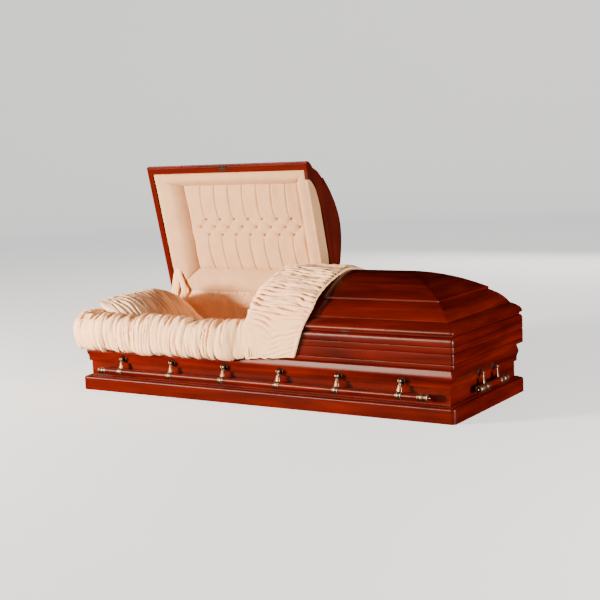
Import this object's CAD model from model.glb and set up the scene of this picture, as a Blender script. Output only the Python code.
import math

import bmesh
import bpy
import numpy as np
from mathutils import Matrix, Vector


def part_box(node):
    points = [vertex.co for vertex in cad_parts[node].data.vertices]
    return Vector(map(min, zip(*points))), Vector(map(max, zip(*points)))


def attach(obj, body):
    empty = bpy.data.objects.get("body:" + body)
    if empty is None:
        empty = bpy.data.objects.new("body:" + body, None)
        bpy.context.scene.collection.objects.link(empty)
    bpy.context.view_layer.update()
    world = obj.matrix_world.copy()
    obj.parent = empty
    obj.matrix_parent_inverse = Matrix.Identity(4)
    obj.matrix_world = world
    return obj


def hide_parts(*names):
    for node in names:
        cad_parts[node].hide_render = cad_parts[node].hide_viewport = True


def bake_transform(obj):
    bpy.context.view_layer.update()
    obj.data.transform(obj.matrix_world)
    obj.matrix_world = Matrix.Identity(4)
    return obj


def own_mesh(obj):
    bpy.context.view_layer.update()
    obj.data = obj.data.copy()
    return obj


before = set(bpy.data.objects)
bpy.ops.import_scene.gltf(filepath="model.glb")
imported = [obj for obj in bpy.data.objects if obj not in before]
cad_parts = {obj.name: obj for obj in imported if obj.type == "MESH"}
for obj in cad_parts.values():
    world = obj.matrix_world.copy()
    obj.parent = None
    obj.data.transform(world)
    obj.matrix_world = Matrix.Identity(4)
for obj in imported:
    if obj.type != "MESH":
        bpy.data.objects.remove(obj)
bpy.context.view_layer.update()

# Funeral casket: wood, metal and cloth over the frame of its CAD solids.

# Lengths in the profiles below are millimetres, and the scene is in metres.
MM = 0.001

# Sizes read from the frame
base_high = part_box("base_moulding")[1]
HALF_LENGTH = base_high.x / MM
HALF_WIDTH = base_high.y / MM
BASE_TOP = base_high.z / MM
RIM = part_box("side_front")[1].z / MM
LID_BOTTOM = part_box("foot_lid_rail")[0].z / MM
CROWN_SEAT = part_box("foot_lid_rail")[1].z / MM
CROWN_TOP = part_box("foot_lid_crown")[1].z / MM
HEAD_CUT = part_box("head_lid_crown")[1].x / MM
FOOT_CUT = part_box("foot_lid_rail")[0].x / MM

# Sizes of the wood
WALL_INSET = 37
WALL_INNER = 57
FLOOR_GAP = 18.3
BULGE_BOTTOM = 150
REED_BOTTOM = 238
GROOVE_HEIGHTS = (258, 306, 334.5)
GROOVE_DEPTH = 5.2
CROWN_INSET = 122
CROWN_THICKNESS = 14
ARCH_POWER = 1.78
HEADER_THICKNESS = 18
RAIL_FOOT, RAIL_FOOT_TOP = 44, 419
HEADER_LEG_INSET = 93
HEADER_RISE = 74
MITRE_GAP = 0.2
BASE_RADIUS = 22
WALL_RADIUS = 14
HIP_RADIUS = 55

# Shift of the wood's figure from one length to the next, so that no two look alike
GRAIN_SHIFT = (3170, 811, 37)

# Hinge line of the lids and the angle at which the head lid stands open
OPEN_ANGLE = math.radians(76.9)
HINGE = Vector((0, (HALF_WIDTH - 7) * MM, 379.5 * MM))

# Camera, solved from the straight edges in the photograph
CAMERA_PLACE = (3.228668, -4.899205, 1.198896)
CAMERA_YAW = math.radians(32.963)
CAMERA_PITCH = math.radians(7.255)
CAMERA_ROLL = math.radians(-2.426)
CAMERA_LENS = 71.407

collection = bpy.context.scene.collection


# Seeded smooth noise between -1 and 1, worked on whole arrays

def lattice(ix, iy, seed):
    """A fixed random value for each whole-numbered grid point."""
    h = (ix * 374761393 + iy * 668265263 + seed * 144665) & 0xFFFFFFFF
    h = ((h ^ (h >> 13)) * 1274126177) & 0xFFFFFFFF
    return ((h ^ (h >> 16)) & 0xFFFF) / 32767.5 - 1.0


def noise2(x, y, seed=0):
    """Smooth noise between the values of the grid points around each place."""
    x, y = np.broadcast_arrays(np.asarray(x, float), np.asarray(y, float))
    ix, iy = np.floor(x).astype(np.int64), np.floor(y).astype(np.int64)
    fx, fy = x - ix, y - iy
    ux, uy = fx * fx * (3 - 2 * fx), fy * fy * (3 - 2 * fy)
    low = lattice(ix, iy, seed) * (1 - ux) + lattice(ix + 1, iy, seed) * ux
    high = lattice(ix, iy + 1, seed) * (1 - ux) + lattice(ix + 1, iy + 1, seed) * ux
    return low * (1 - uy) + high * uy


def step(low, high, value):
    """Smooth rise from 0 at low to 1 at high."""
    share = np.clip((np.asarray(value, float) - low) / (high - low), 0, 1)
    return share * share * (3 - 2 * share)


def gathers(along, across, pitch, seed, reach=8.0, wander=0.6):
    """Rounded ridges with narrow valleys that run along one direction. About 0 to 1."""
    shift = wander * pitch * noise2(along / (pitch * 5), across / (pitch * 4), seed)
    moved = across + shift
    main = np.abs(noise2(moved / pitch, along / (pitch * reach), seed + 1)) ** 0.6
    fine = np.abs(noise2(moved / (pitch * 0.37), along / (pitch * reach * 0.6), seed + 2)) ** 0.7
    return 0.75 * main + 0.25 * fine


def shirring(along, across, pitch, seed, reach=6.0, wander=0.35, power=0.7):
    """Even gathers: rounded pleats side by side, whose valleys come and go. About 0 to 1."""
    phase = (across / pitch + wander * noise2(along / (pitch * reach), across / (pitch * 3), seed)
             + 0.3 * noise2(along / (pitch * reach * 0.4), across / (pitch * 1.5), seed + 1))
    ridge = np.abs(np.sin(np.pi * phase)) ** power
    hold = step(-0.55, 0.45, noise2(along / (pitch * reach * 0.6), phase * 0.8, seed + 2))
    fine = np.abs(noise2(phase * 3.1, along / (pitch * reach * 0.8), seed + 3)) ** 0.7
    return 0.82 * (0.8 + (ridge - 0.8) * hold) + 0.18 * fine


# Mesh helpers. Points are in millimetres until add_piece makes the mesh.

def spline(points, steps=5):
    """Smooth open curve through the points."""
    p = np.array(points, float)
    padded = np.vstack([2 * p[0] - p[1], p, 2 * p[-1] - p[-2]])
    out = []
    for i in range(1, len(padded) - 2):
        a, b, c, d = padded[i - 1:i + 3]
        for t in np.arange(steps) / steps:
            out.append(0.5 * (2 * b + (c - a) * t + (2 * a - 5 * b + 4 * c - d) * t ** 2
                              + (3 * b - a - 3 * c + d) * t ** 3))
    out.append(p[-1])
    return [tuple(q) for q in out]


def distances(line):
    """How far along a line each of its points lies."""
    return np.concatenate([[0], np.cumsum(np.linalg.norm(np.diff(line, axis=0), axis=1))])


def line_normals(line):
    """Unit normals of a flat line, to the left of its direction."""
    tangent = np.gradient(line, axis=0)
    tangent /= np.linalg.norm(tangent, axis=1)[:, None]
    return np.stack([-tangent[:, 1], tangent[:, 0]], 1)


def resample(points, count, closed=False):
    """Points at even distances along a line."""
    p = np.array(points, float)
    if closed:
        p = np.vstack([p, p[:1]])
    run = distances(p)
    at = np.linspace(0, run[-1], count, endpoint=not closed)
    return np.stack([np.interp(at, run, p[:, k]) for k in range(p.shape[1])], 1)


def grid_faces(rows, columns, close_rows=False, close_columns=False, first=0):
    """Quads of a grid of points stored row by row from index first."""
    i = np.arange(rows if close_rows else rows - 1)
    j = np.arange(columns if close_columns else columns - 1)
    i, j = [g.ravel() for g in np.meshgrid(i, j, indexing="ij")]
    i2, j2 = (i + 1) % rows, (j + 1) % columns
    quads = np.stack([i * columns + j, i * columns + j2, i2 * columns + j2, i2 * columns + j], 1)
    return (quads + first).tolist()


class Shells:
    """Collects closed shells that make one piece."""

    def __init__(self):
        self.points, self.faces, self.grain = [], [], []
        self.count = 0

    def add(self, points, faces, grain=None):
        points = np.asarray(points, float).reshape(-1, 3)
        self.points.append(points)
        self.grain.append(np.zeros_like(points) if grain is None
                          else np.asarray(grain, float).reshape(-1, 3))
        self.faces += [[index + self.count for index in face] for face in faces]
        self.count += len(points)

    def sweep(self, sections, grain=None):
        """A solid through rows of points, each row a closed outline, with flat ends."""
        p = np.asarray(sections, float)
        rows, columns = p.shape[:2]
        faces = grid_faces(rows, columns, close_columns=True)
        faces += [list(range(columns))[::-1], [(rows - 1) * columns + j for j in range(columns)]]
        self.add(p, faces, grain)

    def add_pair(self, front, back):
        """A closed shell between two grids of points, joined round their borders."""
        rows, columns = front.shape[:2]
        border = ([(i, 0) for i in range(rows - 1)]
                  + [(rows - 1, j) for j in range(columns - 1)]
                  + [(i, columns - 1) for i in range(rows - 1, 0, -1)]
                  + [(0, j) for j in range(columns - 1, 0, -1)])
        index = [i * columns + j for i, j in border]
        size = rows * columns
        faces = grid_faces(rows, columns) + grid_faces(rows, columns, first=size)
        faces += [[a, b, b + size, a + size] for a, b in zip(index, index[1:] + index[:1])]
        self.add(np.concatenate([front.reshape(-1, 3), back.reshape(-1, 3)]), faces)

    def all_points(self):
        return np.vstack(self.points)


def turned_outward(mesh):
    """Turns every shell's faces outward."""
    bm = bmesh.new()
    bm.from_mesh(mesh)
    bmesh.ops.recalc_face_normals(bm, faces=bm.faces)
    bm.to_mesh(mesh)
    bm.free()


def opened(points):
    """Closed-lid points, in millimetres, as they stand with the head lid open."""
    p = np.array(points, float)
    y, z = p[..., 1] - HINGE.y / MM, p[..., 2] - HINGE.z / MM
    c, s = math.cos(OPEN_ANGLE), math.sin(OPEN_ANGLE)
    p[..., 1] = HINGE.y / MM + y * c + z * s
    p[..., 2] = HINGE.z / MM - y * s + z * c
    return p


def add_piece(name, shells, body, material, replaced=(), sharp=35, lid_open=False):
    """Makes a mesh object of the shells, riding a body, for CAD nodes."""
    points = shells.all_points()
    if lid_open:
        points = opened(points)
    mesh = bpy.data.meshes.new(name)
    mesh.from_pydata((points * MM).tolist(), [], shells.faces)
    mesh.validate()
    turned_outward(mesh)
    if any(np.any(g) for g in shells.grain):
        attribute = mesh.attributes.new("grain", "FLOAT_VECTOR", "POINT")
        attribute.data.foreach_set("vector", (np.vstack(shells.grain) * MM).ravel())
    mesh.shade_smooth()
    mesh.set_sharp_from_angle(angle=math.radians(sharp))
    mesh.materials.append(material)
    obj = bpy.data.objects.new(name, mesh)
    collection.objects.link(obj)
    if body:
        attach(obj, body)
    if replaced:
        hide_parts(*replaced)
    return obj


# Materials

class Nodes:
    """Short way to build a node material."""

    def __init__(self, name):
        self.material = bpy.data.materials.new(name)
        self.material.use_nodes = True
        self.tree = self.material.node_tree
        self.shader = self.tree.nodes["Principled BSDF"]

    def node(self, kind, **values):
        made = self.tree.nodes.new(kind)
        for key, value in values.items():
            setattr(made, key, value)
        return made

    def link(self, source, target):
        self.tree.links.new(source, target)

    def set(self, **values):
        for key, value in values.items():
            self.shader.inputs[key.replace("_", " ")].default_value = value

    def coords(self, scale, attribute=None):
        """Object coordinates, or a stored attribute, stretched by a scale for each axis."""
        if attribute:
            source = self.node("ShaderNodeAttribute", attribute_name=attribute).outputs["Vector"]
        else:
            source = self.node("ShaderNodeTexCoord").outputs["Object"]
        mapping = self.node("ShaderNodeMapping")
        mapping.inputs["Scale"].default_value = scale
        self.link(source, mapping.inputs["Vector"])
        return mapping.outputs["Vector"]

    def noise(self, vector, scale=1.0, detail=3.0, roughness=0.5, distortion=0.0):
        made = self.node("ShaderNodeTexNoise")
        for key, value in (("Scale", scale), ("Detail", detail), ("Roughness", roughness),
                           ("Distortion", distortion)):
            made.inputs[key].default_value = value
        self.link(vector, made.inputs["Vector"])
        return made.outputs["Fac"]

    def ramp(self, factor, stops):
        made = self.node("ShaderNodeValToRGB")
        elements = made.color_ramp.elements
        while len(elements) < len(stops):
            elements.new(0.5)
        for element, (place, colour) in zip(elements, stops):
            element.position = place
            element.color = (*colour, 1)
        self.link(factor, made.inputs["Fac"])
        return made.outputs["Color"]

    def blend(self, factor, a, b, mode="MIX"):
        made = self.node("ShaderNodeMix", data_type="RGBA", blend_type=mode)
        for socket, value in ((0, factor), (6, a), (7, b)):
            if isinstance(value, (int, float)):
                made.inputs[socket].default_value = value
            elif isinstance(value, tuple):
                made.inputs[socket].default_value = (*value, 1)
            else:
                self.link(value, made.inputs[socket])
        return made.outputs[2]

    def spread(self, factor, low, high):
        """Maps 0 to 1 onto a range."""
        made = self.node("ShaderNodeMapRange")
        made.inputs["To Min"].default_value = low
        made.inputs["To Max"].default_value = high
        self.link(factor, made.inputs["Value"])
        return made.outputs["Result"]

    def bump(self, height, strength, distance, below=None):
        made = self.node("ShaderNodeBump")
        made.inputs["Strength"].default_value = strength
        made.inputs["Distance"].default_value = distance
        self.link(height, made.inputs["Height"])
        if below is not None:
            self.link(below, made.inputs["Normal"])
        return made.outputs["Normal"]


def wood_material(name, dark, mid, light, roughness, coat):
    """Stained hardwood: long figure, fine pores and cloudy stain under a lacquer."""
    n = Nodes(name)
    figure = n.noise(n.coords((1.3, 20, 1), "grain"), 1.0, 4, 0.55, 0.9)
    pores = n.noise(n.coords((14, 700, 1), "grain"), 1.0, 2, 0.6)
    cloud = n.noise(n.coords((4, 11, 3), "grain"), 1.0, 3, 0.5)
    colour = n.ramp(figure, [(0.28, dark), (0.52, mid), (0.74, light)])
    pore_colour = n.ramp(pores, [(0.32, (0.72, 0.68, 0.66)), (0.48, (1, 1, 1))])
    colour = n.blend(0.4, colour, pore_colour, "MULTIPLY")
    cloud_colour = n.ramp(cloud, [(0.3, (0.62, 0.6, 0.6)), (0.7, (1.15, 1.15, 1.15))])
    colour = n.blend(0.8, colour, cloud_colour, "MULTIPLY")
    n.link(colour, n.shader.inputs["Base Color"])
    n.link(n.spread(pores, roughness + 0.06, roughness), n.shader.inputs["Roughness"])
    n.link(n.bump(pores, 0.06, 0.0003), n.shader.inputs["Normal"])
    n.set(Coat_Weight=coat, Coat_Roughness=0.12, Specular_IOR_Level=0.3, IOR=1.5)
    return n.material


def board_material():
    """Plain plywood of the underside."""
    n = Nodes("board")
    figure = n.noise(n.coords((1.5, 30, 30)), 1.0, 5, 0.6, 0.4)
    colour = n.ramp(figure, [(0.3, (0.22, 0.13, 0.07)), (0.7, (0.38, 0.25, 0.14))])
    n.link(colour, n.shader.inputs["Base Color"])
    n.link(n.bump(figure, 0.2, 0.001), n.shader.inputs["Normal"])
    n.set(Roughness=0.8)
    return n.material


def velvet_material(name, shade, light, gloss=0.15):
    """Crushed velvet: a fine nap, soft mottling and a warm sheen at grazing angles."""
    n = Nodes(name)
    mottle = n.noise(n.coords((14, 14, 14)), 1.0, 5, 0.6, 0.6)
    nap = n.noise(n.coords((900, 900, 900)), 1.0, 2, 0.6)
    crush = n.noise(n.coords((70, 70, 70)), 1.0, 4, 0.6, 1.2)
    colour = n.ramp(mottle, [(0.3, shade), (0.7, light)])
    nap_colour = n.ramp(nap, [(0.3, (0.86, 0.84, 0.82)), (0.7, (1.04, 1.03, 1.02))])
    colour = n.blend(0.7, colour, nap_colour, "MULTIPLY")
    n.link(colour, n.shader.inputs["Base Color"])
    bumps = n.bump(crush, 0.3, 0.0014)
    n.link(n.bump(nap, 0.3, 0.0004, bumps), n.shader.inputs["Normal"])
    n.link(n.spread(crush, 0.75, 0.95), n.shader.inputs["Roughness"])
    n.set(Sheen_Weight=gloss, Sheen_Roughness=0.45, Sheen_Tint=(1.0, 0.78, 0.6, 1),
          Specular_IOR_Level=0.12)
    return n.material


def metal_material(name, hollow, mid, worn, roughness):
    """Antique plated metal: dark in the hollows, bright where hands rub it."""
    n = Nodes(name)
    edge = n.node("ShaderNodeNewGeometry").outputs["Pointiness"]
    stain = n.noise(n.coords((90, 90, 90)), 1.0, 4, 0.6)
    grit = n.noise(n.coords((900, 900, 900)), 1.0, 2, 0.6)
    colour = n.ramp(edge, [(0.44, hollow), (0.50, mid), (0.56, worn)])
    stain_colour = n.ramp(stain, [(0.35, (0.6, 0.55, 0.5)), (0.65, (1.1, 1.1, 1.1))])
    colour = n.blend(0.7, colour, stain_colour, "MULTIPLY")
    n.link(colour, n.shader.inputs["Base Color"])
    n.link(n.spread(stain, roughness + 0.16, roughness - 0.06), n.shader.inputs["Roughness"])
    n.link(n.bump(grit, 0.15, 0.0003), n.shader.inputs["Normal"])
    n.set(Metallic=1.0)
    return n.material


WOOD = wood_material("cherry_wood", (0.037, 0.0013, 0.0003), (0.082, 0.0031, 0.0005),
                     (0.126, 0.006, 0.0009), 0.27, 0.0)
PLAIN_WOOD = wood_material("plain_wood", (0.045, 0.003, 0.001), (0.08, 0.005, 0.0015),
                           (0.13, 0.009, 0.003), 0.42, 0.0)
BOARD = board_material()
VELVET = velvet_material("velvet", (0.90, 0.50, 0.26), (0.98, 0.59, 0.32))
INNER_VELVET = velvet_material("inner_velvet", (0.84, 0.52, 0.31), (0.93, 0.61, 0.37))
PANEL_VELVET = velvet_material("panel_velvet", (0.52, 0.285, 0.14), (0.59, 0.335, 0.175), 0.1)
METAL = metal_material("antique_metal", (0.03, 0.014, 0.008), (0.24, 0.13, 0.08),
                       (0.5, 0.31, 0.2), 0.34)
LUG_METAL = metal_material("lug_metal", (0.01, 0.006, 0.004), (0.04, 0.024, 0.017),
                           (0.16, 0.11, 0.08), 0.42)
HINGE_METAL = metal_material("hinge_metal", (0.1, 0.07, 0.03), (0.4, 0.29, 0.13),
                             (0.6, 0.46, 0.24), 0.35)
DARK_METAL = metal_material("dark_metal", (0.004, 0.003, 0.002), (0.015, 0.011, 0.008),
                            (0.08, 0.06, 0.045), 0.5)


# Plan of the casket: rectangles whose corners are rounded at the outer face

FRONT_LEFT, FRONT_RIGHT, BACK_RIGHT, BACK_LEFT = (-1, -1), (1, -1), (1, 1), (-1, 1)


def outer_radius(radius):
    """Corner radius at each inset, for corners rounded at the outer face."""
    return lambda inset: np.maximum(radius - inset, 1.2)


def hip_radius(inset):
    """The hips of the crown are crisp at its edge and soften towards the ridge."""
    share = np.clip((inset - CROWN_INSET) / (HALF_WIDTH - CROWN_INSET), 0, 1)
    return np.minimum(2 + HIP_RADIUS * share, np.maximum(HALF_WIDTH - inset, 0))


def corner(quadrant, degrees, radius, short=(0, 0)):
    """Maps insets and heights to points at one angle of a corner's arc."""
    angle = math.radians(degrees)

    def place(inset, z):
        reach = radius(inset)
        centre = inset + reach
        x = quadrant[0] * (HALF_LENGTH - short[0] - centre) + reach * math.cos(angle)
        y = quadrant[1] * (HALF_WIDTH - short[1] - centre) + reach * math.sin(angle)
        return np.stack([x, y, z], -1)
    return place


def cut(x, side):
    """A square cut across the casket at x, on the front (-1) or back (+1)."""
    return lambda inset, z: np.stack([np.full_like(inset, x), side * (HALF_WIDTH - inset), z], -1)


def arc(quadrant, start, end, radius, short=(0, 0), steps=6):
    """Stations round a corner from a start angle to an end angle, in degrees."""
    return [corner(quadrant, start + (end - start) * k / steps, radius, short)
            for k in range(steps + 1)]


def four_sides(radius):
    """The mitred lengths round the casket: name, stations, and the axis its grain follows."""
    long_gap, short_gap = (MITRE_GAP, 0), (0, MITRE_GAP)
    return [
        ("front", arc(FRONT_LEFT, 225, 270, radius, long_gap)
         + arc(FRONT_RIGHT, 270, 315, radius, long_gap), 0),
        ("back", arc(BACK_RIGHT, 45, 90, radius, long_gap)
         + arc(BACK_LEFT, 90, 135, radius, long_gap), 0),
        ("foot", arc(FRONT_RIGHT, 315, 360, radius, short_gap)
         + arc(BACK_RIGHT, 0, 45, radius, short_gap), 1),
        ("head", arc(BACK_LEFT, 135, 180, radius, short_gap)
         + arc(FRONT_LEFT, 180, 225, radius, short_gap), 1),
    ]


def three_sides(side, cut_x, radius):
    """The mitred lengths of a lid, from its cut round to its cut."""
    front_corner, back_corner = (side, -1), (side, 1)
    front, middle, end = (270, 315, 360) if side > 0 else (270, 225, 180)
    back_start, back_middle, back = (0, 45, 90) if side > 0 else (180, 135, 90)
    return [
        ([cut(cut_x, -1)] + arc(front_corner, front, middle, radius), 0),
        (arc(front_corner, middle, end, radius)
         + arc(back_corner, back_start, back_middle, radius), 1),
        (arc(back_corner, back_middle, back, radius) + [cut(cut_x, 1)], 0),
    ]


def add_length(shells, outline, stations, axis, piece_number):
    """Sweeps a closed outline of [inset, z] through stations, with wood grain along it."""
    outline = np.array(outline, float)
    inset, z = outline[:, 0], outline[:, 1]
    sections = np.stack([place(inset, z) for place in stations])
    turns = np.linalg.norm(np.diff(outline, axis=0, append=outline[:1]), axis=1)
    across = np.concatenate([[0], np.cumsum(turns)[:-1]])
    grain = np.zeros_like(sections)
    grain[..., 0] = sections[..., axis] + piece_number * GRAIN_SHIFT[0]
    grain[..., 1] = across + piece_number * GRAIN_SHIFT[1]
    grain[..., 2] = piece_number * GRAIN_SHIFT[2]
    shells.sweep(sections, grain)


# Body

def reed(bottom, top):
    """A convex reed between two grooves."""
    half = (top - bottom) / 2
    shares = np.array([-1, -0.97, -0.93, -0.89, -0.8, -0.5, 0, 0.5, 0.8, 0.89, 0.93, 0.97])
    return [(1 + GROOVE_DEPTH * (0.08 * w ** 2 + 0.92 * max((abs(w) - 0.88) / 0.12, 0) ** 1.4),
             bottom + half * (1 + w)) for w in shares]


def wall_outline():
    """Section of a wall: flat face, bulge moulding, cove and four reeds."""
    bulge = spline([(27.5, 150.6), (27.2, 160), (26.4, 173), (23.2, 184), (20.5, 191.5),
                    (20, 198), (21.2, 206), (23.8, 216), (26.5, 226)], 4)
    cove = spline([(26.5, 226), (25.2, 231), (20, 235), (11, 236.6)], 4)
    heights = (REED_BOTTOM, *GROOVE_HEIGHTS)
    reeds = [point for low, high in zip(heights, heights[1:]) for point in reed(low, high)]
    top_reed = reed(GROOVE_HEIGHTS[-1], RIM + 4)[:6]
    rim = spline([(1, 357), (2.6, 364), (5.6, 369), (10.5, 373), (20, RIM)], 4)
    return [(WALL_INSET, FLOOR_GAP), (WALL_INSET, BULGE_BOTTOM), (28.4, BULGE_BOTTOM),
            *bulge, *cove[1:], *reeds, *top_reed, *rim, (WALL_INNER, RIM),
            (WALL_INNER, FLOOR_GAP)]


def base_outline():
    """Section of the base moulding."""
    edge = spline([(0, 59), (0.4, 62), (3, 66.5), (8, 69), (20, 70.5)], 4)
    bead = spline([(20, 72.2), (22, 74.4), (26, 75.5), (36.7, BASE_TOP)], 4)
    return [(0.8, 0), (0, 0.8), *edge, *bead, (36.7, 0)]


def build_body():
    """Base moulding, walls, bottom board and hinge leaf."""
    base = Shells()
    for number, (_, stations, axis) in enumerate(four_sides(outer_radius(BASE_RADIUS))):
        add_length(base, base_outline(), stations, axis, number + 1)
    add_piece("base_wood", base, "root", WOOD, ["base_moulding"])
    nodes = {"front": "side_front", "back": "side_back", "foot": "end_foot", "head": "end_head"}
    for number, (name, stations, axis) in enumerate(four_sides(outer_radius(WALL_RADIUS))):
        wall = Shells()
        add_length(wall, wall_outline(), stations, axis, number + 5)
        add_piece(f"wall_{name}", wall, "root", WOOD, [nodes[name]])
    dress("bottom_board", BOARD)
    dress("hinge_body_leaf", HINGE_METAL)


def dress(node, material):
    """Gives a CAD node that keeps its shape a procedural material."""
    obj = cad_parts[node]
    if not obj.material_slots:
        obj.data.materials.append(material)
    for slot in obj.material_slots:
        slot.material = material


# Lids

def rail_outline():
    """Section of a lid's rail."""
    lip = spline([(14, 385), (6, 385.4), (2.8, 386.6), (2, 390), (2.6, 396), (6.4, 403.5),
                  (13, 411), (22, 419), (31.5, 426), (40, 431), (48, 434.5)], 4)
    shoulder = spline([(50, 439), (55, 446), (62, 456), (72, 468), (86, 481),
                       (104, 494), (124, CROWN_SEAT - 0.5)], 4)
    under = spline([(139, CROWN_SEAT), (136, 497), (112, 479), (84, 458), (68, 442),
                    (RAIL_FOOT, RAIL_FOOT_TOP)], 3)
    return [(14, LID_BOTTOM), *lip, *shoulder, (128, CROWN_SEAT), *under, (RAIL_FOOT, LID_BOTTOM)]


def arch(share, drop=0.0):
    """A point of the crown's section: how far across from its edge to the ridge, and how low."""
    edge_top = CROWN_SEAT + 9
    inset = CROWN_INSET + share * (HALF_WIDTH - CROWN_INSET)
    height = CROWN_TOP - (CROWN_TOP - edge_top) * (1 - share) ** ARCH_POWER - drop
    return inset, height


def crown_outline():
    """Section of a lid's domed crown, from its edge to the ridge."""
    seat = CROWN_SEAT + 0.3
    nose = [(CROWN_INSET + 1.5, seat), (CROWN_INSET, seat + 1.5), (CROWN_INSET + 0.2, seat + 9.2),
            (CROWN_INSET + 1.3, seat + 10)]
    top = [arch(share) for share in np.linspace(0.02, 1, 22)]
    under = [arch(share, CROWN_THICKNESS) for share in np.linspace(1, 0.19, 12)]
    return [*nose, *top, *under, (CROWN_INSET + 24, seat)]


def header_outline():
    """Half of the board in the lid's cut end, from its foot up and round to the middle."""
    gap = 0.3
    outside = [(RAIL_FOOT + gap, LID_BOTTOM), (RAIL_FOOT + gap, RAIL_FOOT_TOP),
               (68, 441.7), (84, 457.7), (112, 478.7), (136, 496.7), (139, CROWN_SEAT - gap)]
    outside += [(inset + gap, z - gap) for inset, z in
                [arch(share, CROWN_THICKNESS) for share in np.linspace(0.19, 0.95, 10)]]
    leg = HEADER_LEG_INSET
    edge = spline([(leg, LID_BOTTOM), (leg + 3, LID_BOTTOM + 20), (leg + 20, LID_BOTTOM + 36),
                   (leg + 62, LID_BOTTOM + HEADER_RISE - 15),
                   (HALF_WIDTH - 160, LID_BOTTOM + HEADER_RISE),
                   (HALF_WIDTH - 60, LID_BOTTOM + HEADER_RISE + 9)], 4)
    return outside, edge


def build_lid(name, side, cut_x, lid_open):
    """A lid's rail, crown and header board, with its hinge leaf and catch."""
    outlines = [("rail", rail_outline(), outer_radius(WALL_RADIUS)),
                ("crown", crown_outline(), hip_radius)]
    for order, (part, outline, radius) in enumerate(outlines):
        shells = Shells()
        for number, (stations, axis) in enumerate(three_sides(side, cut_x, radius)):
            add_length(shells, outline, stations, axis, 11 + order * 7 + number + side)
        add_piece(f"{name}_{part}_wood", shells, name, WOOD,
                  [f"{name}_{part}"], lid_open=lid_open)
    outside, edge = header_outline()
    loop = ([(-(HALF_WIDTH - i), z) for i, z in outside] + [(0, CROWN_TOP - CROWN_THICKNESS - 0.3)]
            + [(HALF_WIDTH - i, z) for i, z in outside[::-1]]
            + [(HALF_WIDTH - i, z) for i, z in edge]
            + [(-(HALF_WIDTH - i), z) for i, z in edge[::-1]])
    depths = [cut_x, cut_x + side * HEADER_THICKNESS]
    sections = np.array([[(x, y, z) for y, z in loop] for x in depths])
    grain = np.stack([sections[..., 1], sections[..., 2], sections[..., 0]], -1)
    board = Shells()
    board.sweep(sections, grain)
    add_piece(f"{name}_header_board", board, name, PLAIN_WOOD,
              [f"{name}_header"], lid_open=lid_open)
    dress(f"{name}_hinge_leaf", HINGE_METAL)
    dress(f"{name}_catch", DARK_METAL)


def build_catch_leg():
    """The head lid's catch is bent under the rail, where the open lid shows it."""
    middle, middle_y = (HEAD_CUT - HALF_LENGTH) / 2, -365
    leg = Shells()
    half_x, half_y, bend = 23, 9, 4
    outline = []
    for sx, sy, start in ((1, 1, 0), (-1, 1, 90), (-1, -1, 180), (1, -1, 270)):
        for turn in np.radians(np.linspace(start, start + 90, 7)):
            outline.append((sx * (half_x - bend) + bend * math.cos(turn),
                            sy * (half_y - bend) + bend * math.sin(turn)))
    outline = np.array(outline) + (middle, middle_y)
    levels = [(0.5, LID_BOTTOM + 1), (0, LID_BOTTOM + 0.4), (0, LID_BOTTOM - 0.1),
              (-0.6, LID_BOTTOM - 0.5)]
    centre = outline.mean(0)
    rows = []
    for grow, z in levels:
        ring = centre + (outline - centre) * (1 + grow / half_x)
        rows.append(np.column_stack([ring, np.full(len(ring), z)]))
    leg.sweep(np.array(rows))
    for x in (-14, 14):
        turns = np.linspace(0, 2 * math.pi, 24, endpoint=False)
        head = []
        for radius, z in ((3.4, 0.2), (3.4, -0.55), (2.6, -0.85), (0.9, -0.85), (0.7, -0.5)):
            head.append([(middle + x + radius * math.cos(t), middle_y + radius * math.sin(t),
                          LID_BOTTOM + z) for t in turns])
        leg.sweep(np.array(head))
    add_piece("head_lid_catch_leg", leg, "head_lid", DARK_METAL,
              lid_open=True)


# Swing-bar handles, drawn about the pin with the wall towards +Y

PIN_INSET, PIN_HEIGHT = 8, 173
BAR_INSET, BAR_HEIGHT = -5, 110
BAR_RADIUS, TIP_RADIUS, TIP_LENGTH = 15, 18, 58
RING_LENGTH, RING_WALL = 28, 3.6
KNOB_RADIUS, KNOB_LENGTH = 8.5, 18
EAR_HALF_WIDTH, PIN_RADIUS = 3, 2.5
LUG_BOTTOM, LUG_TOP, LUG_HALF_WIDTH = 151.5, 191.5, 15
ARM_DROP = math.hypot(PIN_INSET - BAR_INSET, PIN_HEIGHT - BAR_HEIGHT)
ARM_LEAN = math.atan2(PIN_INSET - BAR_INSET, PIN_HEIGHT - BAR_HEIGHT)
HANDLES = [("front", 0, HALF_WIDTH, 6, 800, 953), ("back", 180, HALF_WIDTH, 6, 800, 953),
           ("head", -90, HALF_LENGTH, 2, 78, 165), ("foot", 90, HALF_LENGTH, 2, 78, 165)]


def lathe(profile, segments=32, centre=(0, 0, 0)):
    """A solid turned about the X axis from [x, radius] points. Radius 0 closes an end."""
    turns = np.linspace(0, 2 * math.pi, segments, endpoint=False)
    rows = [[(x + centre[0], centre[1] + r * math.cos(t), centre[2] + r * math.sin(t))
             for t in turns] for x, r in profile]
    return np.array(rows)


def ring_rows(inner, outer, half):
    """Closed section of a sleeve with rounded edges and a raised band in its middle."""
    outside = [(-half, outer - 1.6), (-half + 0.8, outer - 0.4), (-half + 2, outer),
               (-half + 4, outer), (-half + 5, outer - 0.9), (-half + 6, outer - 0.9),
               (-half + 7, outer)]
    outside += [(-x, r) for x, r in outside[::-1]]
    return [*outside, (half, inner), (-half, inner)]


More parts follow.
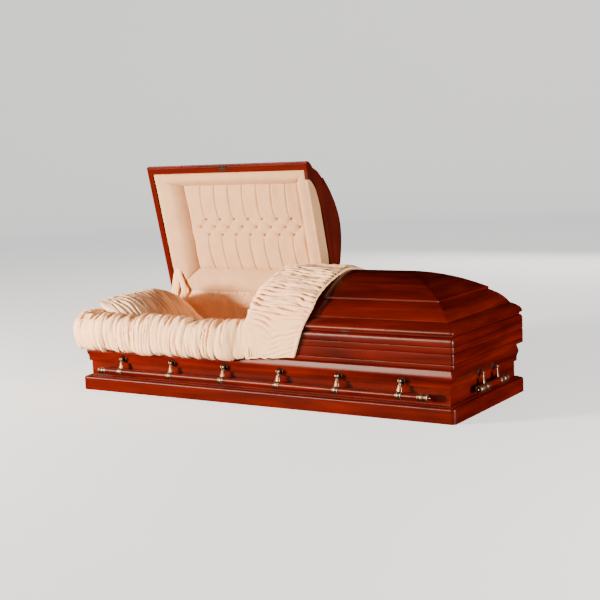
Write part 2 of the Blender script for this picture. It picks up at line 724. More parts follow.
def arm_shells():
    """An arm: blade, two knobs on its pin and the sleeve round the bar."""
    shells = Shells()
    stations = spline([(-2, 7.2, 5.0), (-7, 6.6, 4.6), (-13, 5.4, 4.0), (-20, 6.6, 3.8),
                       (-28, 9.6, 4.0), (-36, 11.6, 4.4), (-44, 12.8, 4.8),
                       (-ARM_DROP + BAR_RADIUS - 1, 13.4, 5.0)], 4)
    turns = np.linspace(0, 2 * math.pi, 24, endpoint=False)
    sections = []
    for z, half_x, half_y in stations:
        cx, cy = np.cos(turns), np.sin(turns)
        rib = 1 + 0.35 * np.exp(-(cx / 0.28) ** 2)
        sections.append(np.stack([half_x * np.sign(cx) * np.abs(cx) ** 0.8,
                                  half_y * cy * rib * 0.85, np.full_like(cx, z)], 1))
    shells.sweep(sections)
    inner = EAR_HALF_WIDTH + 0.4
    outer = KNOB_LENGTH / 2
    half_knob = [(inner, 0.01), (inner, KNOB_RADIUS - 1), (inner + 0.8, KNOB_RADIUS),
                 (outer - 2.2, KNOB_RADIUS), (outer - 0.8, KNOB_RADIUS - 1),
                 (outer, KNOB_RADIUS - 3), (outer, 0.01)]
    shells.sweep(lathe(half_knob, 28))
    shells.sweep(lathe([(-x, r) for x, r in half_knob], 28))
    shells.sweep(lathe([(-inner - 1, PIN_RADIUS), (inner + 1, PIN_RADIUS)], 16))
    rows = lathe(ring_rows(BAR_RADIUS + 0.4, BAR_RADIUS + RING_WALL, RING_LENGTH / 2), 44,
                 (0, 0, -ARM_DROP))
    shells.add(rows, grid_faces(*rows.shape[:2], close_rows=True, close_columns=True))
    return shells


def wall_inset(z):
    """Inset of the bulge's face behind a lug."""
    heights = [150, 174, 184, 191.5, 199]
    return np.interp(z, heights, [27.4, 26.3, 23.2, 20.5, 20])


def lug_shells():
    """A lug: its plate on the bulge moulding and the ear for the pin."""
    shells = Shells()
    half = LUG_HALF_WIDTH
    right = spline([(0.6, LUG_TOP), (4.5, LUG_TOP - 2.2), (9, LUG_TOP - 7), (half, LUG_TOP - 16),
                    (half, LUG_TOP - 26), (8, LUG_BOTTOM + 3), (0.6, LUG_BOTTOM)], 5)
    rim = np.array(right + [(-x, z) for x, z in right[::-1]])
    middle = np.array([0, (LUG_TOP + LUG_BOTTOM) / 2])
    shares = [0.02, 0.3, 0.55, 0.72, 0.8, 0.88, 0.95, 1.0]
    rises = [4.4, 4.4, 4.2, 3.7, 2.6, 3.4, 3.2, 1.4]
    front = []
    for share, rise in zip(shares, rises):
        ring = middle + (rim - middle) * share
        y = wall_inset(ring[:, 1]) - PIN_INSET - 0.3 - rise
        front.append(np.stack([ring[:, 0], y, ring[:, 1] - PIN_HEIGHT], 1))
    back = []
    for share in (1.0, 0.5, 0.02):
        ring = middle + (rim - middle) * share
        y = wall_inset(ring[:, 1]) - PIN_INSET - 0.3
        back.append(np.stack([ring[:, 0], y, ring[:, 1] - PIN_HEIGHT], 1))
    shells.sweep(front + back)
    reach = wall_inset(np.array([PIN_HEIGHT]))[0] - PIN_INSET - 1
    ear = spline([(reach, 9), (6, 7.6), (2, 6.4), (-3.5, 5), (-6, 0), (-3.5, -5), (2, -6.4),
                  (6, -7.8), (reach, -10)], 4)
    shells.sweep([[(x, y, z) for y, z in ear] for x in (-EAR_HALF_WIDTH, EAR_HALF_WIDTH)])
    return shells


def bar_shells(half):
    """A wooden bar and its two turned metal tips."""
    end = half - TIP_LENGTH + 1
    wood = Shells()
    rows = lathe([(-end, 0.01), (-end, BAR_RADIUS), (end, BAR_RADIUS), (end, 0.01)], 48)
    grain = np.stack([rows[..., 0], rows[..., 1] * 2, rows[..., 2] * 2], -1)
    wood.sweep(rows, grain)
    tips = Shells()
    full = TIP_RADIUS
    profile = [(0, 0.01), (-0.4, 1.8), (-1.6, 3.6), (-4, 5.4), (-6.4, 5.6), (-8.4, 4.4),
               (-9.4, 4.2), (-10, 7.5), (-11, 12.5), (-12.6, 15.4), (-14.6, 17.2), (-17, full),
               (-21, full), (-22, 16.9), (-23.4, 16.9), (-24.4, full), (-27, full), (-28, 16.9),
               (-29.4, 16.9), (-30.4, full), (-47, full), (-48, 17), (-49.4, 17), (-50.4, full),
               (-55, full), (-56.6, 17.4), (-TIP_LENGTH, BAR_RADIUS + 0.6), (-TIP_LENGTH, 0.01)]
    for sign in (1, -1):
        tips.sweep(lathe([(sign * (half + x), r) for x, r in profile], 40))
    return wood, tips


def placed(shells, matrix):
    """A copy of the shells moved by a matrix whose lengths are in millimetres."""
    copy = Shells()
    copy.faces, copy.grain, copy.count = shells.faces, shells.grain, shells.count
    m = np.array(matrix)
    copy.points = [p @ m[:3, :3].T + m[:3, 3] for p in shells.points]
    return copy


def build_handles():
    """The four swing-bar handles."""
    arm, lug = arm_shells(), lug_shells()
    for name, turn, reach, count, spread, half in HANDLES:
        pin_line = (Matrix.Rotation(math.radians(turn), 4, "Z")
                    @ Matrix.Translation((0, -(reach - PIN_INSET), PIN_HEIGHT)))
        swing = pin_line @ Matrix.Rotation(-ARM_LEAN, 4, "X")
        body = f"handle_{name}"
        for i in range(count):
            shift = Matrix.Translation((spread * (2 * i / (count - 1) - 1), 0, 0))
            add_piece(f"{name}_lug_{i + 1}", placed(lug, pin_line @ shift), "root",
                      LUG_METAL, [f"lug_{name}_{i + 1}"], sharp=50)
            add_piece(f"{name}_arm_{i + 1}", placed(arm, swing @ shift), body,
                      METAL, [f"arm_{name}_{i + 1}"], sharp=50)
        lower = swing @ Matrix.Translation((0, 0, -ARM_DROP))
        wood, tips = bar_shells(half)
        add_piece(f"{name}_bar_wood", placed(wood, lower), body, WOOD,
                  [f"bar_{name}"])
        add_piece(f"{name}_bar_tips", placed(tips, lower), body, METAL,
                  [f"bar_{name}"], sharp=50)


# Cloth: the roll that hangs over the rim

ROLL_BOTTOM = 236
ROLL_CORNER = 45
ROLL_POINTS = 140


def roll_section():
    """Outline of the roll as evenly spaced [inset, z] points, its outward normals, its run
    and how freely each point may move."""
    outside = spline([(57.5, 380), (58, 392), (44, 399), (24, 402), (2, 401), (-22, 391),
                      (-41, 371), (-51, 345), (-56, 315), (-55, 285), (-50, 257), (-41, 234),
                      (-26, 219), (-10, 214), (3, 222)], 8)
    touching = [(3, 236), (0.4, 243), (0.4, 358), (3, 367), (9, 373), (19.5, 375.8), (50, 375.9)]
    line = resample(outside + touching, ROLL_POINTS, closed=True)
    tangent = np.roll(line, -1, 0) - np.roll(line, 1, 0)
    tangent /= np.linalg.norm(tangent, axis=1)[:, None]
    normal = np.stack([-tangent[:, 1], tangent[:, 0]], 1)
    middle = np.array([-20, 310])
    if np.mean(np.sum((line - middle) * normal, 1)) < 0:
        normal = -normal
    run = np.arange(len(line)) * np.linalg.norm(line[1] - line[0])
    outer_length = np.sum(np.linalg.norm(np.diff(np.array(outside), axis=0), axis=1))
    free = step(0, 25, run) * step(0, 22, outer_length - run)
    return line, normal, run, free


def roll_shells(stations, lengths, seed, reach, sink):
    """Sweeps the gathered roll. lengths is each station's run along the casket, reach says how
    much of its overhang it keeps there, and sink how far its top sits lower."""
    line, normal, run, free = roll_section()
    s = np.asarray(lengths, float)[:, None]
    t = run[None, :]
    shift = 9 * noise2(t / 120, s / 90, seed + 40)
    folds = np.abs(noise2((s + shift) / 44, t / 260, seed + 1)) ** 0.55
    middle_folds = np.abs(noise2((s + shift) / 17, t / 150, seed + 2)) ** 0.6
    fine = np.abs(noise2((s + shift) / 7.5, t / 90, seed + 3)) ** 0.7
    puff = noise2(s / 130, t / 160, seed + 5)
    puckers = np.abs(noise2(s / 30, t / 400, seed + 20)) ** 0.6
    near_top = np.exp(-((t - 70) / 50) ** 2)
    near_hem = np.exp(-((t - 320) / 46) ** 2)
    height = ((folds - 0.5) * 12 * (1 + 0.5 * near_hem) + (middle_folds - 0.5) * 8
              + (fine - 0.5) * 3 + puff * 5 + (puckers - 0.62) * 22 * near_top)
    moved = line[None] + normal[None] * (height * free[None, :])[..., None]
    scallops = np.abs(noise2(s / 33, 0.5, seed + 31)) ** 0.7
    moved[..., 1] += np.exp(-((t - 335) / 34) ** 2) * (8 - 17 * scallops)
    moved[..., 1] += np.exp(-((t - 60) / 40) ** 2) * (6 * puckers - 3.5)
    share = np.clip(reach(s), 0, 1)
    inset = moved[..., 0]
    moved[..., 0] = np.where(inset < 10, 10 + (inset - 10) * share, inset)
    lift = step(0.75, 0.35, share) * step(300, 215, moved[..., 1])
    moved[..., 1] += 11 * lift
    moved[..., 1] -= sink(s) * step(330, 395, moved[..., 1]) * step(8, -8, inset)
    shells = Shells()
    shells.sweep([place(row[:, 0], row[:, 1]) for place, row in zip(stations, moved)])
    return shells


def roll_radius(inset):
    """Radius of the rim roll's corner at each inset."""
    return np.maximum(ROLL_CORNER - inset, 0.5)


def straight(start, end, side_axis, count):
    """Stations along the front (axis 0) or the head end (axis 1)."""
    places = []
    for value in np.linspace(start, end, count):
        if side_axis == 0:
            places.append(cut(value, -1))
        else:
            places.append(lambda inset, z, y=value: np.stack(
                [-(HALF_LENGTH - inset), np.full_like(inset, y), z], -1))
    return places


def build_rolls():
    """The rim roll in three pieces, pressed inward as the head lid closes."""
    spacing = 2.9
    end_x = FOOT_CUT - 6
    start_x = -HALF_LENGTH + ROLL_CORNER
    count = int((end_x - start_x) / spacing)
    lengths = np.linspace(0, end_x - start_x, count)
    last = lengths[-1]
    front = roll_shells(straight(start_x, end_x, 0, count), lengths, 3,
                        lambda s: ((0.34 + 0.66 * step(4, 130, last - s))
                                   * (0.85 + 0.15 * step(0, 160, s))),
                        lambda s: 9 * step(160, 0, s))
    front_roll = add_piece("rim_roll_front_cloth", front, "root", VELVET,
                           ["rim_roll_front"], sharp=80)

    arc_run = 95 * math.pi / 2
    stations = arc(FRONT_LEFT, 270, 180, roll_radius, (0, 0), 48)
    bend = roll_shells(stations, np.linspace(0, -arc_run, len(stations)), 3,
                       lambda s: 0.85 * np.ones_like(s), lambda s: 9 * np.ones_like(s))
    corner_roll = add_piece("rim_roll_corner_cloth", bend, "root", VELVET,
                            ["rim_roll_front", "rim_roll_head"], sharp=80)

    back_y = HALF_WIDTH - WALL_INNER
    start_y = -HALF_WIDTH + ROLL_CORNER
    count = int((back_y - start_y) / spacing)
    lengths = -arc_run - np.linspace(0, back_y - start_y, count)
    back_end = lengths[-1]
    head = roll_shells(straight(start_y, back_y, 1, count), lengths, 3,
                       lambda s: 0.2 + 0.65 * np.sqrt(np.clip((s - back_end) / 80, 0, 1)),
                       lambda s: 9 * np.ones_like(s))
    head_roll = add_piece("rim_roll_head_cloth", head, "root", VELVET,
                          ["rim_roll_head"], sharp=80)
    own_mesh(front_roll)
    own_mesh(head_roll)
    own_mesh(corner_roll)


# Cloth: pillow

PILLOW_X, PILLOW_Y = -815, -10
PILLOW_DEPTH, PILLOW_WIDTH = 470, 560
PILLOW_RIDGE = 0.25
PILLOW_RISE, PILLOW_SINK, PILLOW_THIN_SINK = 111, 110, 40
BED_TOP, BED_RAISE, BED_BEND, BED_HEAD = 150, 145, -470, -985


def bed_top(x):
    """Height of the bed, which rises towards the head."""
    return BED_TOP + BED_RAISE * np.clip((BED_BEND - x) / (BED_BEND - BED_HEAD), 0, 1)


def pillow_edge(u, v):
    """Height of the pillow's seam: it leans on the head roll and sinks towards the foot."""
    lean = 300.8 - 118.6 * u - 105.2 * np.maximum(u, 0) ** 2 - 24 * v
    return np.maximum(lean, bed_top(PILLOW_X + u * PILLOW_DEPTH / 2) + 5 + 3 * v)


def build_pillow():
    """Pillow with slanting pleats, pressed down as the head lid closes."""
    cells = 165
    line = np.sin(np.linspace(-1, 1, cells + 1) * math.pi / 2)
    line = 0.45 * line + 0.55 * np.linspace(-1, 1, cells + 1)
    u, v = np.meshgrid(line, line, indexing="ij")
    pull = 1 - 0.07 * u ** 2 * v ** 2
    x = PILLOW_X + pull * u * PILLOW_DEPTH / 2
    y = PILLOW_Y + pull * v * PILLOW_WIDTH / 2
    edge = pillow_edge(u, v)
    front = v < PILLOW_RIDGE
    away = np.where(front, (PILLOW_RIDGE - v) / (1 + PILLOW_RIDGE),
                    (v - PILLOW_RIDGE) / (1 - PILLOW_RIDGE))
    across = 1 - away ** np.where(front, 1.4, 2.2)
    along = 1 - u ** 2
    crown = np.where(front, np.sqrt(np.maximum(across * along, 0)), across * np.sqrt(along))
    rim = np.maximum(np.abs(u), np.abs(v))
    free = step(0.0, 0.14, 1 - rim)
    plain = step(-0.60, -0.76, u)
    slant = y + 0.22 * (x - PILLOW_X)
    pleats = shirring(x, slant, 24, 41, reach=7, wander=0.4, power=1.2)
    small = np.abs(noise2(slant / 8, x / 110, 47)) ** 0.65
    tucks = np.abs(noise2(y / 26, x / 60, 49)) ** 0.6
    relief = ((pleats - 0.6) * 14 + (small - 0.5) * 5) * (1 - 0.85 * plain)
    relief += (tucks - 0.5) * 9 * plain + 5 * noise2(x / 110, y / 90, 45)
    pinch = -17 * np.exp(-((u + 0.66) / 0.04) ** 2 - ((v - 0.25) / 0.35) ** 2)
    top = edge + PILLOW_RISE * (1.35 - 0.29 * u ** 2) * crown + (relief + pinch) * free
    belly = PILLOW_THIN_SINK + (PILLOW_SINK - PILLOW_THIN_SINK) * np.clip((u + 0.8) / 0.8, 0, 1)
    bulge = np.sqrt(np.maximum(0, (1 - u ** 4) * (1 - v ** 4)))
    under = np.maximum(edge - belly * bulge, np.minimum(edge, bed_top(x) + 2))
    seam = 3 * noise2(x / 13, y / 13, 51)
    top = np.where(rim > 0.999, edge + seam, np.maximum(top, bed_top(x) + 4))
    under = np.where(rim > 0.999, edge + seam - 0.4, under)
    upper = np.stack([x, y, top], -1)
    lower = np.stack([x, y, under], -1)
    shells = Shells()
    shells.add_pair(upper, lower)
    pillow = add_piece("pillow_cloth", shells, "root", INNER_VELVET, ["pillow"], sharp=80)
    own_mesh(pillow)


# Cloth: overthrow on the foot lid

THROW_END = 345
THROW_THICKNESS = 7
THROW_ROWS, THROW_COLUMNS = 360, 84


def throw_arch():
    """Outer line of the overthrow across the casket, from its front hem to its back edge."""
    points = [(-396, 238), (-401, 262), (-403, 300), (-404, 340), (-403, 378), (-396, 408),
              (-380, 438), (-361, 466), (-335, 496), (-303, 524), (-262, 549), (-215, 571),
              (-150, 595), (-80, 612), (0, 620), (80, 612), (150, 594), (205, 572), (250, 546)]
    return resample(spline(points, 8), THROW_ROWS)


def throw_hang(edge_line, run):
    """The two layers of the overthrow that fall from its edge down the lid's cut end."""
    rows, steps = len(edge_line), 12
    foot_line = np.stack([np.full(rows, FOOT_CUT - 1.2), np.clip(edge_line[:, 1], -312, 290),
                          np.minimum(edge_line[:, 2] - 30, ROLL_BOTTOM)], 1)
    top_line = edge_line.copy()
    top_line[:, 0] = FOOT_CUT - 2.2
    hang = []
    for k in range(steps + 1):
        fall = k / steps
        row = top_line * (1 - fall) + foot_line * fall
        wave = gathers(np.full(rows, fall * 300.0), run, 20, 83, reach=8) - 0.5
        row[:, 0] = FOOT_CUT - 2.0 + wave * 1.3
        hang.append(row)
    hang = np.array(hang)
    back = hang.copy()
    back[..., 0] += 0.6
    return hang, back


def build_overthrow():
    """Pleated cloth over the foot lid's cut end."""
    line = throw_arch()
    normal = line_normals(line)
    run = distances(line)
    total = run[-1]
    share = np.linspace(0, 1, THROW_COLUMNS)
    share = 0.5 * share + 0.25 * (1 - np.cos(np.pi * share))
    lean = 84 * np.clip(1 - run / 260, 0, 1) ** 1.25
    start = FOOT_CUT - 4.0
    x_end = THROW_END - lean + 4 * noise2(run / 90, 0.0, 71)
    x = start + (x_end[:, None] - start) * share[None, :]
    s = np.broadcast_to(run[:, None], x.shape)
    low = step(270, 60, s)
    sag = low * 44 * np.sin(np.pi * np.clip(share[None, :] * 1.05, 0, 1))
    tilt = 0.13 * (x - start) * (1 - low)
    flow = s + sag + tilt + 7 * noise2(x / 85, s / 60, 70)
    pleats = shirring(x, flow, 27, 61, reach=4.5, wander=0.5, power=1.2)
    broad = np.abs(noise2(flow / 60, x / 240, 64)) ** 0.6
    small = np.abs(noise2(flow / 9, x / 80, 67)) ** 0.65
    from_start = np.exp(-((x - start) / 75) ** 2)
    upright = shirring(s, x + 0.12 * s, 15, 73, reach=8)
    strength = 1 - 0.6 * low - 0.2 * np.exp(-((s - 20) / 45) ** 2)
    relief = ((pleats - 0.6) * 25 + (broad - 0.5) * 9 + (small - 0.5) * 6) * strength
    relief = relief * (1 - low * from_start) + (upright - 0.6) * 12 * low * from_start
    near_hem = x_end[:, None] - x
    hem = np.exp(-(np.maximum(near_hem - 3, 0) / 9) ** 2)
    groove = np.exp(-((near_hem - 20) / 6) ** 2)
    edge_free = step(0, 14, s) * step(0, 10, total - s) * (1 - 0.85 * hem)
    lift = relief * edge_free + 2.5 * hem - 1 * groove + 5 * (1 - low) * (1 - hem)
    lift -= 26 * np.clip(1 - (x - start) / 42, 0, 1) ** 2.2 * step(150, 200, s)
    outer = np.stack([x, line[:, 0][:, None] + normal[:, 0][:, None] * lift,
                      line[:, 1][:, None] + normal[:, 1][:, None] * lift], -1)
    outer[..., 2] += np.exp(-(s / 45) ** 2) * (22 * share - 13)
    outer[..., 2] += np.exp(-(s / 14) ** 2) * 4 * noise2(x / 24, 0.0, 77)
    depth = THROW_THICKNESS + 4 * hem - 3.4 * np.exp(-((x - start) / 20) ** 2)
    inner = outer.copy()
    inner[..., 1] -= normal[:, 0][:, None] * depth
    inner[..., 2] -= normal[:, 1][:, None] * depth
    shells = Shells()
    shells.add_pair(outer, inner)
    hang, back = throw_hang(outer[:, 0], run)
    shape = hang.shape[:2]
    faces = grid_faces(*shape) + grid_faces(*shape, first=shape[0] * shape[1])
    shells.add(np.concatenate([hang.reshape(-1, 3), back.reshape(-1, 3)]), faces)
    throw = add_piece("overthrow_cloth", shells, "foot_lid", VELVET, ["overthrow"],
                      sharp=80)


# Cloth: tufted panel in the head lid, drawn closed

PANEL_OUTER = 45
FIELD = {"front": 122, "back": 180, "head": 212, "cut": 95}
FIELD_TOP = 408
PANEL_EDGE = 370
BUTTON_ROWS = ((-75, -738, 7), (-31, -784, 8), (13, -738, 7))
BUTTON_STEP = 92.5
SEAM_BOW, SEAM_WIDTH = 12, 4.2

# Each border roll's drop at its outer edge, belly, and the share and power of its inner slope
PANEL_ROLLS = {"front": (7, 2, 0.3, 2.1), "cut": (1, 3, 0.35, 2.2), "back": (7, 3, 0.4, 2.4),
               "head": (16, 5, 0.5, 2.8)}
ROLL_BEFORE = {"front": "head", "cut": "front", "back": "cut", "head": "back"}
ROLL_AFTER = {"front": "cut", "cut": "back", "back": "head", "head": "front"}


def panel_rectangle(share):
    """Low and high X and Y of the panel's outline at a share of the way in to the field."""
    cut_side = HEAD_CUT - HEADER_THICKNESS
    ease = {side: PANEL_OUTER + (FIELD[side] - PANEL_OUTER) * share for side in FIELD}
    cut_inset = (FIELD["cut"] - HEADER_THICKNESS) * share
    return (-HALF_LENGTH + ease["head"], cut_side - cut_inset,
            -HALF_WIDTH + ease["front"], HALF_WIDTH - ease["back"])


def roll_height(share, kind):
    """Height of the panel's border roll from its outer edge to the field."""
    outer_drop, belly, knee, power = kind
    outer = outer_drop * np.clip(1 - share / 0.22, 0, 1) ** 2
    inner = (FIELD_TOP + 6 - PANEL_EDGE) * np.clip((share - knee) / (1 - knee), 0, 1) ** power
    return PANEL_EDGE + outer - belly * np.sin(np.pi * np.clip(share / 0.8, 0, 1)) + inner


def tuft_depth(x, y, y0, y1):
    """Depth of the panel's tufting: buttons, the creases between them and straight seams."""
    buttons = [[(low + BUTTON_STEP * i, row_y) for i in range(count)]
               for row_y, low, count in BUTTON_ROWS]
    first, middle, third = buttons
    crease = np.zeros_like(x)
    for (bx, by), sign in [(b, -1) for b in first] + [(b, 1) for b in third]:
        edge_y = y0 if sign < 0 else y1
        reach = np.clip((y - by) / (edge_y - by), 0, 1)
        seam_x = bx - SEAM_BOW * np.sin(np.pi * reach ** 0.7)
        on_seam = np.exp(-((x - seam_x) / SEAM_WIDTH) ** 2) * (np.sign(y - by) == sign)
        crease = np.maximum(crease, on_seam * 6)
    links = [(a, b) for a in first + third for b in middle if abs(a[0] - b[0]) < 62]
    for (ax, ay), (bx, by) in links:
        dx, dy = bx - ax, by - ay
        length = math.hypot(dx, dy)
        t = np.clip(((x - ax) * dx + (y - ay) * dy) / length ** 2, 0, 1)
        away = np.hypot(x - ax - t * dx, y - ay - t * dy)
        fade = 1 - 0.55 * np.sin(np.pi * t)
        crease = np.maximum(crease, 8 * fade * np.exp(-(away / SEAM_WIDTH) ** 2))
    dimple = np.zeros_like(x)
    for bx, by in first + middle + third:
        away = np.hypot(x - bx, (y - by) * 1.25)
        dimple = np.maximum(dimple, 10 * np.exp(-(away / 7) ** 2) + 7 * np.exp(-(away / 22) ** 2))
    return np.minimum(np.maximum(crease, 0.35 * crease + dimple), 20)


def build_panel_rolls():
    """The four border rolls, pressed into the lid as it closes."""
    shells = Shells()
    across, along = 30, 90
    shares = np.linspace(0, 1, across)
    low_x, high_x, low_y, high_y = np.array([panel_rectangle(s) for s in shares]).T
    corners = [(low_x, low_y), (high_x, low_y), (high_x, high_y), (low_x, high_y)]
    for k, side in enumerate(("front", "cut", "back", "head")):
        (xa, ya), (xb, yb) = corners[k], corners[(k + 1) % 4]
        t = np.linspace(0, 1, along)[None, :]
        x = xa[:, None] * (1 - t) + xb[:, None] * t
        y = ya[:, None] * (1 - t) + yb[:, None] * t
        heights = [roll_height(shares, PANEL_ROLLS[name]) for name in
                   (ROLL_BEFORE[side], side, ROLL_AFTER[side])]
        mitre = 0.5 * np.exp(-t / 0.05) * np.ones_like(x)
        far_mitre = 0.5 * np.exp(-(1 - t) / 0.05) * np.ones_like(x)
        z = (heights[1][:, None] * (1 - mitre - far_mitre) + heights[0][:, None] * mitre
             + heights[2][:, None] * far_mitre)
        z += 2.6 * np.exp(-(np.minimum(t, 1 - t) / 0.012) ** 2) * np.ones_like(x)
        z += 1.8 * noise2(x / 60, y / 60, 91 + k) * np.sin(np.pi * shares)[:, None]
        top = np.stack([x, y, z], -1)
        back = top.copy()
        back[..., 2] = FIELD_TOP + 20
        shells.add_pair(top, back)
    panel_rolls = add_piece("head_lid_panel_rolls", shells, "head_lid", PANEL_VELVET,
                            ["head_lid_panel"], sharp=60, lid_open=True)
    pressed = opened([(-500, 0, LID_BOTTOM + 12)])[0] * MM
    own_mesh(panel_rolls)


def build_panel_field():
    """The tufted field."""
    x0, x1, y0, y1 = panel_rectangle(1.0)
    columns, rows = 260, 140
    x, y = np.meshgrid(np.linspace(x0 - 4, x1 + 4, columns), np.linspace(y0 - 4, y1 + 4, rows),
                       indexing="ij")
    depth = tuft_depth(x, y, y0, y1)
    puff = 3.0 * noise2(x / 46, y / 60, 97)
    z = FIELD_TOP + depth - puff
    edge_drop = 8 * (np.exp(-((x - x0) / 10) ** 2) + np.exp(-((x1 - x) / 10) ** 2)
                     + np.exp(-((y - y0) / 10) ** 2) + np.exp(-((y1 - y) / 10) ** 2))
    z += np.minimum(edge_drop, 10)
    top = np.stack([x, y, z], -1)
    back = top.copy()
    back[..., 2] = FIELD_TOP + 24
    field = Shells()
    field.add_pair(top, back)
    field_piece = add_piece("head_lid_panel_field", field, "head_lid", PANEL_VELVET,
                            ["head_lid_panel"], sharp=80, lid_open=True)


def build_panel_end():
    """The plain strip that closes the panel behind the header board."""
    _, edge = header_outline()
    inset_z = [(i + 0.5, z - 5) for i, z in edge[:-3]]
    loop = ([(-(HALF_WIDTH - i), z) for i, z in inset_z]
            + [(HALF_WIDTH - i, z) for i, z in inset_z[::-1]])
    loop = resample(loop, 160, closed=True)
    centre = loop.mean(0)
    strip = Shells()
    sections = []
    for x_at, share in ((-40, 1.0), (-22, 1.0), (-17.5, 0.995), (-15.6, 0.985), (-15, 0.97)):
        ring = centre + (loop - centre) * share
        sections.append([(x_at, y_at, z_at) for y_at, z_at in ring])
    strip.sweep(sections)
    strip_piece = add_piece("head_lid_panel_end", strip, "head_lid", PANEL_VELVET,
                            ["head_lid_panel"], sharp=40, lid_open=True)


# Cloth: cover of the hinge


def ribbon(shells, path, width, facing, thickness, seed, pleat=3.0):
    """A soft strip along a path of points, width wide, with its face turned to facing."""
    path = resample(spline(path, 6), 60)
    widths = np.interp(np.linspace(0, 1, len(path)), np.linspace(0, 1, len(width)), width)
    tangent = np.gradient(path, axis=0)
    tangent /= np.linalg.norm(tangent, axis=1)[:, None]
    side = np.cross(tangent, np.asarray(facing, float))
    side /= np.linalg.norm(side, axis=1)[:, None]
    out = np.cross(side, tangent)
    turns = np.linspace(0, 2 * math.pi, 48, endpoint=False)
    run = np.linspace(0, 1, len(path))[:, None] * 260
    across = np.cos(turns)[None, :] * widths[:, None] / 2
    fold = (shirring(run + 0 * across, across, 11, seed, reach=9) - 0.6) * pleat
    rise = np.sin(turns)[None, :] * thickness / 2 + fold * (np.sin(turns)[None, :] > -0.2)
    points = (path[:, None] + side[:, None] * across[..., None] + out[:, None] * rise[..., None])
    shells.sweep(points)


def build_hinge_cover():
    """Gathered cloth that hides the hinge."""
    path = resample(spline([(321, 350), (321.5, 364), (323.5, 378), (330, 393), (341, 407),
                            (352, 420), (358, 433)], 6), 26)
    normal = line_normals(path)
    run = distances(path)
    x = np.linspace(-1000, HEAD_CUT - 8, 330)[:, None]
    s = run[None, :]
    fold = shirring(s, x, 15, 121, reach=6)
    pucker = np.exp(-((s - run[-1] + 14) / 12) ** 2)
    height = (fold - 0.6) * 6 * step(0, 16, s) + (fold - 0.8) * 5 * pucker
    front = np.stack([x + 0 * s, path[None, :, 0] + normal[None, :, 0] * height,
                      path[None, :, 1] + normal[None, :, 1] * height], -1)
    back = front.copy()
    back[..., 1] += 1.2
    cover = Shells()
    cover.add_pair(front, back)
    piece = add_piece("hinge_cover_cloth", cover, None, VELVET, sharp=80)
    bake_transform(piece)


def build_corner_strap():
    """The folded strap at the head-end corner."""
    strap = Shells()
    facing = (0.3, -1, 0.15)
    ribbon(strap, [(-966, 331, 556), (-978, 326, 530), (-990, 332, 492), (-998, 334, 455),
                   (-1000, 328, 415), (-998, 318, 372), (-996, 312, 350)],
           (30, 40, 44, 42, 36), facing, 7, 131)
    ribbon(strap, [(-966, 330, 556), (-958, 324, 524), (-948, 330, 488), (-938, 330, 452),
                   (-932, 324, 415), (-930, 316, 372), (-930, 312, 352)],
           (28, 30, 30, 32, 36), facing, 7, 137)
    strap_piece = add_piece("corner_strap_cloth", strap, None, VELVET, sharp=80)
    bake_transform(strap_piece)


# Cloth: lining of the walls and the bed

def build_lining():
    """Gathered lining of the four inner walls."""
    sides = [((-1, -1), (1, -1)), ((1, -1), (1, 1)), ((1, 1), (-1, 1)), ((-1, 1), (-1, -1))]
    inner = WALL_INNER + 0.4
    thickness = 8
    shells = Shells()
    rows = 28
    heights = np.linspace(110, RIM - 2, rows)
    for k, (a, b) in enumerate(sides):
        ends = [np.array([q[0] * (HALF_LENGTH - inner), q[1] * (HALF_WIDTH - inner)]) for q in (a, b)]
        length = np.linalg.norm(ends[1] - ends[0])
        count = int(length / 7)
        t = np.linspace(0, 1, count)
        base = ends[0] + (ends[1] - ends[0]) * t[:, None]
        inward = -np.array([(a[0] + b[0]) / 2, (a[1] + b[1]) / 2])
        along = t[:, None] * length
        z = np.broadcast_to(heights[None, :], (count, rows))
        fold = gathers(z, along, 22, 101 + k, reach=9, wander=0.5)
        depth = thickness * (0.25 + 0.75 * fold)
        depth = depth + 1.5 * np.exp(-((RIM - 12 - z) / 8) ** 2)
        near_end = np.minimum(along, length - along)
        depth = np.minimum(depth, np.maximum(near_end, 0.4) + 0 * z)
        face = np.stack([base[:, None, 0] + inward[0] * depth, base[:, None, 1] + inward[1] * depth,
                         z], -1)
        wall = np.stack([np.broadcast_to(base[:, None, 0], z.shape),
                         np.broadcast_to(base[:, None, 1], z.shape), z], -1)
        shells.add_pair(face, wall)
    lining = add_piece("wall_lining_cloth", shells, "root", INNER_VELVET, ["body_lining"],
                       sharp=80)


def build_bed():
    """Bed with rounded edges and shallow waves."""
    reach_x = HALF_LENGTH - WALL_INNER - 11
    reach_y = HALF_WIDTH - WALL_INNER - 11
    nx, ny = 200, 70
    x, y = np.meshgrid(np.linspace(-reach_x, reach_x, nx), np.linspace(-reach_y, reach_y, ny),
                       indexing="ij")
    near = np.minimum(reach_x - np.abs(x), reach_y - np.abs(y))
    round_edge = 16 * (1 - np.sqrt(np.clip(1 - (1 - np.clip(near / 22, 0, 1)) ** 2, 0, 1)))
    z = bed_top(x) - round_edge - 2 + 2.2 * noise2(x / 120, y / 90, 111)
    z += 1.2 * (gathers(x, y, 60, 115, reach=6) - 0.5)
    top = np.stack([x, y, np.minimum(z, bed_top(x))], -1)
    under = top.copy()
    under[..., 2] = FLOOR_GAP
    shells = Shells()
    shells.add_pair(top, under)
    bed = add_piece("bed_cloth", shells, "root", INNER_VELVET, ["mattress"], sharp=60)


# Studio: pale floor, soft lights and the camera

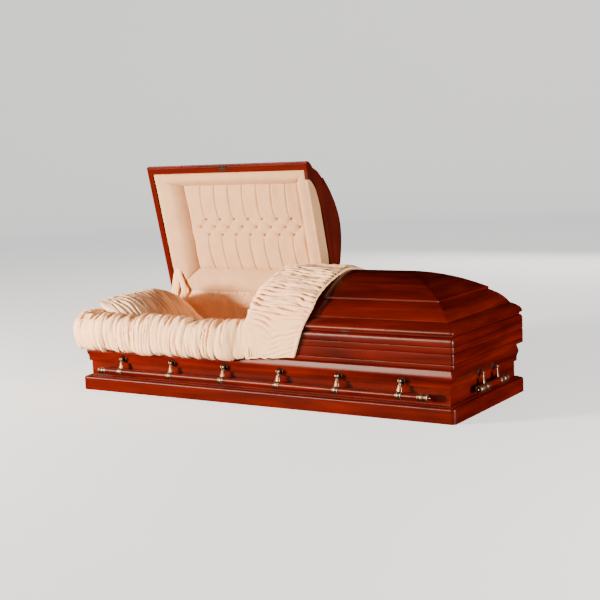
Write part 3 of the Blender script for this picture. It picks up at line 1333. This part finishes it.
def area_light(name, place, target, size, power, colour):
    """A rectangular light that faces a target."""
    data = bpy.data.lights.new(name, "AREA")
    data.shape = "RECTANGLE"
    data.size, data.size_y = size
    data.energy = power
    data.color = colour
    obj = bpy.data.objects.new(name, data)
    obj.location = place
    obj.rotation_mode = "QUATERNION"
    obj.rotation_quaternion = (Vector(target) - Vector(place)).to_track_quat("-Z", "Y")
    collection.objects.link(obj)
    return obj


def build_floor():
    """Pale floor that curves up into walls and a ceiling."""
    turns = np.linspace(0, 2 * math.pi, 96, endpoint=False)
    profile = [(0.01, 0), (3, 0), (9, 0), (12, 0.05)]
    profile += [(12 + 6 * math.sin(t), 6 - 6 * math.cos(t)) for t in np.linspace(0.1, 1.5, 18)]
    profile += [(18, 9), (17, 14), (12, 18), (0.01, 20)]
    rows = np.array([[(r * math.cos(t), r * math.sin(t), z) for t in turns] for r, z in profile])
    mesh = bpy.data.meshes.new("floor")
    mesh.from_pydata(rows.reshape(-1, 3).tolist(), [],
                     grid_faces(len(profile), len(turns), close_columns=True))
    mesh.shade_smooth()
    floor = bpy.data.objects.new("floor", mesh)
    collection.objects.link(floor)
    n = Nodes("floor")
    shade = n.noise(n.coords((0.6, 0.6, 0.6)), 1.0, 2, 0.5)
    n.link(n.ramp(shade, [(0.3, (0.88, 0.88, 0.88)), (0.7, (0.9, 0.9, 0.9))]),
           n.shader.inputs["Base Color"])
    n.set(Roughness=0.9, Specular_IOR_Level=0.0, Emission_Color=(1, 0.99, 0.975, 1),
          Emission_Strength=0.9)
    mesh.materials.append(n.material)
    floor.visible_glossy = False
    floor.visible_diffuse = False


def build_lights():
    """Dim world and four soft lights."""
    world = bpy.data.worlds.new("studio")
    bpy.context.scene.world = world
    world.use_nodes = True
    background = world.node_tree.nodes["Background"]
    background.inputs["Color"].default_value = (0.8, 0.9, 1.0, 1)
    background.inputs["Strength"].default_value = 0.09
    world.cycles_visibility.glossy = False

    band = area_light("band", (-3.1, -4.6, 1.9), (0, 0, 0.3), (5.4, 1.5), 800, (1, 0.84, 0.66))
    band.visible_diffuse = False
    key = area_light("key", (-4.5, -4.6, 0.95), (-0.2, 0, 0.4), (1.1, 1.1), 2050, (1, 0.9, 0.79))
    key.visible_glossy = False
    area_light("side", (5.2, -1.2, 0.75), (0.6, 0, 0.3), (1.6, 1.2), 480, (1, 0.92, 0.84))
    back = area_light("back", (0, 6.8, 1.9), (0, 0, 0.4), (6, 1.2), 190, (1, 0.92, 0.84))
    back.visible_glossy = False
    back.visible_camera = False


def build_camera():
    """The photograph's camera."""
    data = bpy.data.cameras.new("camera")
    data.lens = CAMERA_LENS
    data.sensor_width = 36
    data.clip_end = 200
    camera = bpy.data.objects.new("camera", data)
    collection.objects.link(camera)
    sin_yaw, cos_yaw = math.sin(CAMERA_YAW), math.cos(CAMERA_YAW)
    sin_pitch, cos_pitch = math.sin(CAMERA_PITCH), math.cos(CAMERA_PITCH)
    forward = Vector((-sin_yaw * cos_pitch, cos_yaw * cos_pitch, -sin_pitch))
    level = Vector((cos_yaw, sin_yaw, 0))
    upright = level.cross(forward)
    right = math.cos(CAMERA_ROLL) * level + math.sin(CAMERA_ROLL) * upright
    up = -math.sin(CAMERA_ROLL) * level + math.cos(CAMERA_ROLL) * upright
    turn = Matrix((right, up, -forward)).transposed().to_4x4()
    camera.matrix_world = Matrix.Translation(CAMERA_PLACE) @ turn
    bpy.context.scene.camera = camera


build_body()
build_lid("foot_lid", 1, FOOT_CUT, False)
build_lid("head_lid", -1, HEAD_CUT, True)
build_handles()
build_lining()
build_bed()
build_pillow()
build_rolls()
build_overthrow()
build_panel_rolls()
build_panel_field()
build_panel_end()
build_catch_leg()
build_hinge_cover()
build_corner_strap()
build_floor()
build_lights()
build_camera()
